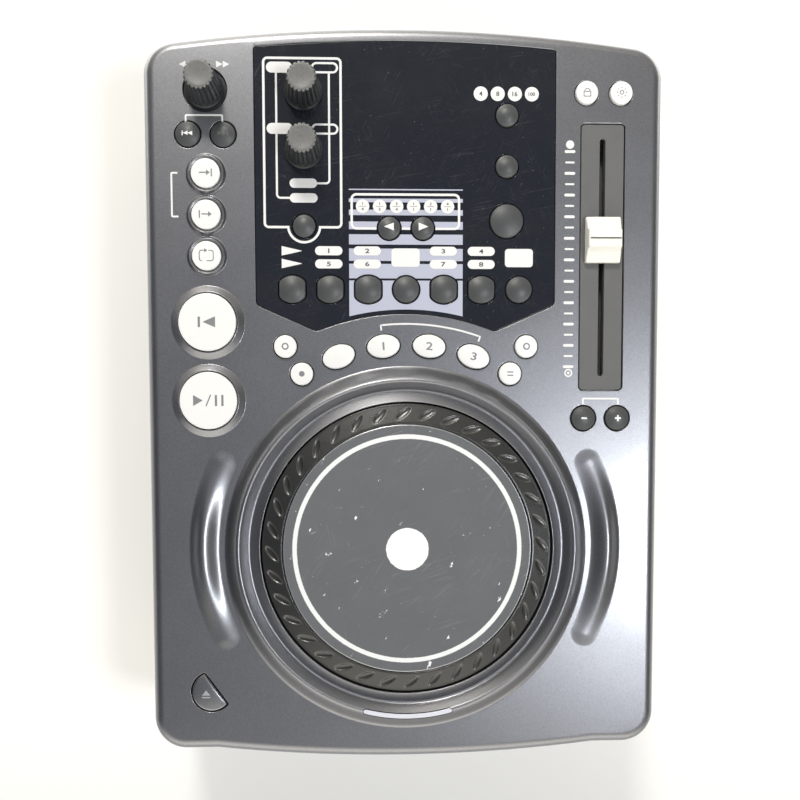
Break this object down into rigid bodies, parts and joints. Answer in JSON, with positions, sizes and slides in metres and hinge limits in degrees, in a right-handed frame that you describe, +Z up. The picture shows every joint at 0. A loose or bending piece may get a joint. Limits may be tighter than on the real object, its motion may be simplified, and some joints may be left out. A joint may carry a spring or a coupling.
{
  "type": "tabletop disc player",
  "caption": "Tabletop slot-loading disc player with a touch jog wheel in a raised bowl, a pitch fader, knobs and a panel of push buttons, on rubber feet.",
  "frame": {"origin": "on the table under the middle of the case's outer box", "axes": "+X to the user's right, +Y to the rear end with the sockets, +Z up"},
  "size_m": [0.22, 0.3134, 0.1035],
  "materials": {
    "case_paint": "satin metallic dark grey paint over moulded plastic",
    "base_black": "fine textured black",
    "lens_black": "glossy black screen-printed panel",
    "display_dark": "unlit display",
    "board_green": "solder resist",
    "switch_black": "moulded",
    "encoder_steel": "plain",
    "fader_grey": "satin",
    "track_steel": "plain",
    "bearing_steel": "turned",
    "lamp_clear": "milky translucent",
    "supply_board": "phenolic board",
    "jack_black": "moulded sockets with plated barrels",
    "foot_rubber": "soft black",
    "screw_steel": "zinc plated",
    "drive_steel": "folded sheet",
    "ring_black": "fine textured",
    "plate_grey": "worn grey film with a printed ring",
    "cap_ivory": "moulded",
    "knob_black": "soft touch",
    "rocker_black": "moulded",
    "hub_plastic": "moulded",
    "sled_plastic": "moulded",
    "roller_rubber": "soft black",
    "button_dark": "dark grey rubber",
    "button_pearl": "pearl white"
  },
  "bodies": {
    "case": {"upper_case": "case_paint", "lower_case": "base_black", "display_lens": "lens_black", "display_module": "display_dark", "control_board": "board_green", "tact_switches": "switch_black", "rotary_encoders": "encoder_steel", "fader_plate": "fader_grey", "fader_track": "track_steel", "jog_bearing": "bearing_steel", "lamp_window": "lamp_clear", "main_board": "board_green", "power_supply": "supply_board", "rear_jacks": "jack_black", "rubber_feet": "foot_rubber", "case_screws": "screw_steel", "drive_chassis": "drive_steel"},
    "jog_wheel": {"jog_ring": "ring_black", "jog_plate": "plate_grey"},
    "pitch_fader": {"fader_cap": "cap_ivory"},
    "search_knob": {"search_knob": "knob_black"},
    "time_knob": {"time_knob": "knob_black"},
    "ratio_knob": {"ratio_knob": "knob_black"},
    "power_rocker": {"power_switch": "rocker_black"},
    "turntable": {"disc_turntable": "hub_plastic"},
    "sled": {"laser_sled": "sled_plastic"},
    "roller": {"feed_roller": "roller_rubber"},
    "track_back_button": {"track_back_button": "button_dark"},
    "track_next_button": {"track_next_button": "button_dark"},
    "loop_in_button": {"loop_in_button": "button_pearl"},
    "loop_out_button": {"loop_out_button": "button_pearl"},
    "reloop_button": {"reloop_button": "button_pearl"},
    "cue_button": {"cue_button": "button_pearl"},
    "play_button": {"play_button": "button_pearl"},
    "folder_button": {"folder_button": "button_dark"},
    "select_down_button": {"select_down_button": "button_dark"},
    "select_up_button": {"select_up_button": "button_dark"},
    "pitch_range_button": {"pitch_range_button": "button_dark"},
    "time_button": {"time_button": "button_dark"},
    "tap_button": {"tap_button": "button_dark"},
    "fx_button_1": {"fx_button_1": "button_dark"},
    "fx_button_2": {"fx_button_2": "button_dark"},
    "fx_button_3": {"fx_button_3": "button_dark"},
    "fx_button_4": {"fx_button_4": "button_dark"},
    "fx_button_5": {"fx_button_5": "button_dark"},
    "fx_button_6": {"fx_button_6": "button_dark"},
    "fx_button_7": {"fx_button_7": "button_dark"},
    "sampler_button": {"sampler_button": "button_pearl"},
    "memory_button": {"memory_button": "button_pearl"},
    "bank_select_button": {"bank_select_button": "button_pearl"},
    "bank_button_1": {"bank_button_1": "button_pearl"},
    "bank_button_2": {"bank_button_2": "button_pearl"},
    "bank_button_3": {"bank_button_3": "button_pearl"},
    "effect_button_outer": {"effect_button_outer": "button_pearl"},
    "effect_button_inner": {"effect_button_inner": "button_pearl"},
    "tempo_lock_button": {"tempo_lock_button": "button_pearl"},
    "pitch_switch_button": {"pitch_switch_button": "button_pearl"},
    "pitch_down_button": {"pitch_down_button": "button_dark"},
    "pitch_up_button": {"pitch_up_button": "button_dark"},
    "eject_button": {"eject_button": "button_dark"}
  },
  "joints": [
    {"name": "jog_spin", "type": "hinge", "parent": "case", "child": "jog_wheel", "pos_m": [0, -0.0637, 0.086], "axis": [0, 0, 1], "continuous": true},
    {"name": "pitch_slide", "type": "slide", "parent": "case", "child": "pitch_fader", "axis": [0, 1, 0], "range_m": [-0.0553, 0.0405]},
    {"name": "search_knob_turn", "type": "hinge", "parent": "case", "child": "search_knob", "pos_m": [-0.084, 0.1292, 0.086], "axis": [0, 0, 1], "continuous": true},
    {"name": "time_knob_turn", "type": "hinge", "parent": "case", "child": "time_knob", "pos_m": [-0.0431, 0.1285, 0.086], "axis": [0, 0, 1], "continuous": true},
    {"name": "ratio_knob_turn", "type": "hinge", "parent": "case", "child": "ratio_knob", "pos_m": [-0.0431, 0.1045, 0.086], "axis": [0, 0, 1], "continuous": true},
    {"name": "power_rock", "type": "hinge", "parent": "case", "child": "power_rocker", "pos_m": [0.028, 0.1462, 0.041], "axis": [1, 0, 0], "range_deg": [0, 16]},
    {"name": "disc_spin", "type": "hinge", "parent": "case", "child": "turntable", "pos_m": [0, -0.0807, 0.035], "axis": [0, 0, 1], "continuous": true},
    {"name": "sled_slide", "type": "slide", "parent": "case", "child": "sled", "axis": [0, 1, 0], "range_m": [0, 0.034]},
    {"name": "roller_spin", "type": "hinge", "parent": "case", "child": "roller", "pos_m": [0, -0.1429, 0.037], "axis": [1, 0, 0], "continuous": true},
    {"name": "track_back_press", "type": "slide", "parent": "case", "child": "track_back_button", "axis": [0, 0, -1], "range_m": [0, 0.0006], "stiffness_N_per_m": 300, "springref_m": -0.002},
    {"name": "track_next_press", "type": "slide", "parent": "case", "child": "track_next_button", "axis": [0, 0, -1], "range_m": [0, 0.0006], "stiffness_N_per_m": 300, "springref_m": -0.002},
    {"name": "loop_in_press", "type": "slide", "parent": "case", "child": "loop_in_button", "axis": [0, 0, -1], "range_m": [0, 0.0006], "stiffness_N_per_m": 300, "springref_m": -0.002},
    {"name": "loop_out_press", "type": "slide", "parent": "case", "child": "loop_out_button", "axis": [0, 0, -1], "range_m": [0, 0.0006], "stiffness_N_per_m": 300, "springref_m": -0.002},
    {"name": "reloop_press", "type": "slide", "parent": "case", "child": "reloop_button", "axis": [0, 0, -1], "range_m": [0, 0.0006], "stiffness_N_per_m": 300, "springref_m": -0.002},
    {"name": "cue_press", "type": "slide", "parent": "case", "child": "cue_button", "axis": [0, 0, -1], "range_m": [0, 0.001], "stiffness_N_per_m": 300, "springref_m": -0.002},
    {"name": "play_press", "type": "slide", "parent": "case", "child": "play_button", "axis": [0, 0, -1], "range_m": [0, 0.001], "stiffness_N_per_m": 300, "springref_m": -0.002},
    {"name": "folder_press", "type": "slide", "parent": "case", "child": "folder_button", "axis": [0, 0, -1], "range_m": [0, 0.0006], "stiffness_N_per_m": 300, "springref_m": -0.002},
    {"name": "select_down_press", "type": "slide", "parent": "case", "child": "select_down_button", "axis": [0, 0, -1], "range_m": [0, 0.0006], "stiffness_N_per_m": 300, "springref_m": -0.002},
    {"name": "select_up_press", "type": "slide", "parent": "case", "child": "select_up_button", "axis": [0, 0, -1], "range_m": [0, 0.0006], "stiffness_N_per_m": 300, "springref_m": -0.002},
    {"name": "pitch_range_press", "type": "slide", "parent": "case", "child": "pitch_range_button", "axis": [0, 0, -1], "range_m": [0, 0.0006], "stiffness_N_per_m": 300, "springref_m": -0.002},
    {"name": "time_press", "type": "slide", "parent": "case", "child": "time_button", "axis": [0, 0, -1], "range_m": [0, 0.0006], "stiffness_N_per_m": 300, "springref_m": -0.002},
    {"name": "tap_press", "type": "slide", "parent": "case", "child": "tap_button", "axis": [0, 0, -1], "range_m": [0, 0.0006], "stiffness_N_per_m": 300, "springref_m": -0.002},
    {"name": "fx_button_1_press", "type": "slide", "parent": "case", "child": "fx_button_1", "axis": [0, 0, -1], "range_m": [0, 0.0006], "stiffness_N_per_m": 300, "springref_m": -0.002},
    {"name": "fx_button_2_press", "type": "slide", "parent": "case", "child": "fx_button_2", "axis": [0, 0, -1], "range_m": [0, 0.0006], "stiffness_N_per_m": 300, "springref_m": -0.002},
    {"name": "fx_button_3_press", "type": "slide", "parent": "case", "child": "fx_button_3", "axis": [0, 0, -1], "range_m": [0, 0.0006], "stiffness_N_per_m": 300, "springref_m": -0.002},
    {"name": "fx_button_4_press", "type": "slide", "parent": "case", "child": "fx_button_4", "axis": [0, 0, -1], "range_m": [0, 0.0006], "stiffness_N_per_m": 300, "springref_m": -0.002},
    {"name": "fx_button_5_press", "type": "slide", "parent": "case", "child": "fx_button_5", "axis": [0, 0, -1], "range_m": [0, 0.0006], "stiffness_N_per_m": 300, "springref_m": -0.002},
    {"name": "fx_button_6_press", "type": "slide", "parent": "case", "child": "fx_button_6", "axis": [0, 0, -1], "range_m": [0, 0.0006], "stiffness_N_per_m": 300, "springref_m": -0.002},
    {"name": "fx_button_7_press", "type": "slide", "parent": "case", "child": "fx_button_7", "axis": [0, 0, -1], "range_m": [0, 0.0006], "stiffness_N_per_m": 300, "springref_m": -0.002},
    {"name": "sampler_press", "type": "slide", "parent": "case", "child": "sampler_button", "axis": [0, 0, -1], "range_m": [0, 0.0006], "stiffness_N_per_m": 300, "springref_m": -0.002},
    {"name": "memory_press", "type": "slide", "parent": "case", "child": "memory_button", "axis": [0, 0, -1], "range_m": [0, 0.0006], "stiffness_N_per_m": 300, "springref_m": -0.002},
    {"name": "bank_select_press", "type": "slide", "parent": "case", "child": "bank_select_button", "axis": [0, 0, -1], "range_m": [0, 0.0006], "stiffness_N_per_m": 300, "springref_m": -0.002},
    {"name": "bank_button_1_press", "type": "slide", "parent": "case", "child": "bank_button_1", "axis": [0, 0, -1], "range_m": [0, 0.0006], "stiffness_N_per_m": 300, "springref_m": -0.002},
    {"name": "bank_button_2_press", "type": "slide", "parent": "case", "child": "bank_button_2", "axis": [0, 0, -1], "range_m": [0, 0.0006], "stiffness_N_per_m": 300, "springref_m": -0.002},
    {"name": "bank_button_3_press", "type": "slide", "parent": "case", "child": "bank_button_3", "axis": [0, 0, -1], "range_m": [0, 0.0006], "stiffness_N_per_m": 300, "springref_m": -0.002},
    {"name": "effect_button_outer_press", "type": "slide", "parent": "case", "child": "effect_button_outer", "axis": [0, 0, -1], "range_m": [0, 0.0006], "stiffness_N_per_m": 300, "springref_m": -0.002},
    {"name": "effect_button_inner_press", "type": "slide", "parent": "case", "child": "effect_button_inner", "axis": [0, 0, -1], "range_m": [0, 0.0006], "stiffness_N_per_m": 300, "springref_m": -0.002},
    {"name": "tempo_lock_press", "type": "slide", "parent": "case", "child": "tempo_lock_button", "axis": [0, 0, -1], "range_m": [0, 0.0006], "stiffness_N_per_m": 300, "springref_m": -0.002},
    {"name": "pitch_switch_press", "type": "slide", "parent": "case", "child": "pitch_switch_button", "axis": [0, 0, -1], "range_m": [0, 0.0006], "stiffness_N_per_m": 300, "springref_m": -0.002},
    {"name": "pitch_down_press", "type": "slide", "parent": "case", "child": "pitch_down_button", "axis": [0, 0, -1], "range_m": [0, 0.0006], "stiffness_N_per_m": 300, "springref_m": -0.002},
    {"name": "pitch_up_press", "type": "slide", "parent": "case", "child": "pitch_up_button", "axis": [0, 0, -1], "range_m": [0, 0.0006], "stiffness_N_per_m": 300, "springref_m": -0.002},
    {"name": "eject_press", "type": "slide", "parent": "case", "child": "eject_button", "axis": [0, 0, -1], "range_m": [0, 0.0006], "stiffness_N_per_m": 300, "springref_m": -0.002}
  ]
}
